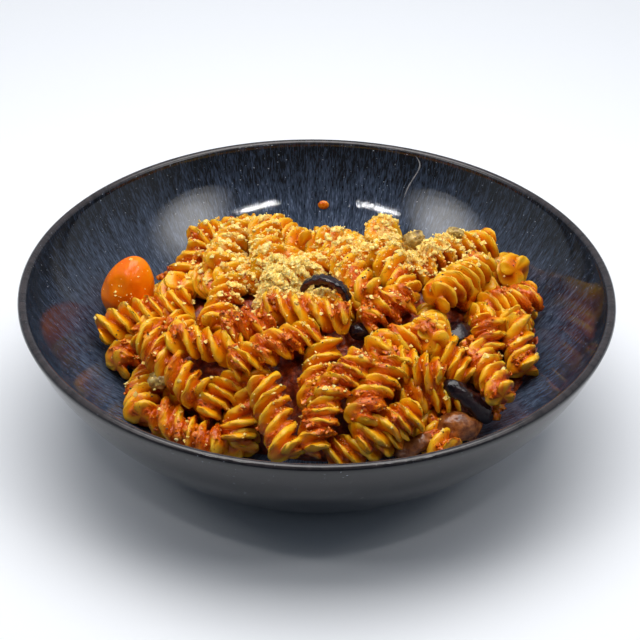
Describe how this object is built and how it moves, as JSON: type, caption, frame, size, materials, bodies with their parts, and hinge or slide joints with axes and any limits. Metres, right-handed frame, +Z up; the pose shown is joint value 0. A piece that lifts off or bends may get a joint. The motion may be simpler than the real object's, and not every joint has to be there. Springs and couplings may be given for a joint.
{
  "type": "bowl of pasta puttanesca",
  "caption": "Dark-glazed stoneware bowl holding a heap of fusilli in tomato sauce with black and brown olives, capers, half a cherry tomato and grated parmesan.",
  "frame": {"origin": "centre of the foot ring, on the surface that the bowl stands on", "axes": "+Z up along the bowl's axis; -Y towards the eater, the side from which the front of the heap is seen; +X to the eater's right"},
  "size_m": [0.22, 0.22, 0.0625],
  "materials": {
    "glaze": "glossy dark blue-grey glaze with fine streaks running down the wall, brown where it is thin on the lip",
    "pasta": "boiled wheat pasta, moist, coated in tomato sauce and oil",
    "tomato": "cooked cherry tomato, thin glossy skin",
    "black_olive": "black olive flesh, oily and glossy",
    "brown_olive": "brown-maroon olive skin, oily and glossy",
    "caper": "pickled caper, olive-brown, moist"
  },
  "bodies": {
    "root": {"bowl": "glaze", "pasta": "pasta", "tomato_half": "tomato", "olive_ring_slice": "black_olive", "olive_strip_black": "black_olive", "olive_half_black": "black_olive", "olive_piece_black": "black_olive", "olive_half_brown": "brown_olive", "olive_wedge_brown": "brown_olive", "caper_back": "caper", "caper_right": "caper", "caper_left": "caper"}
  },
  "joints": []
}
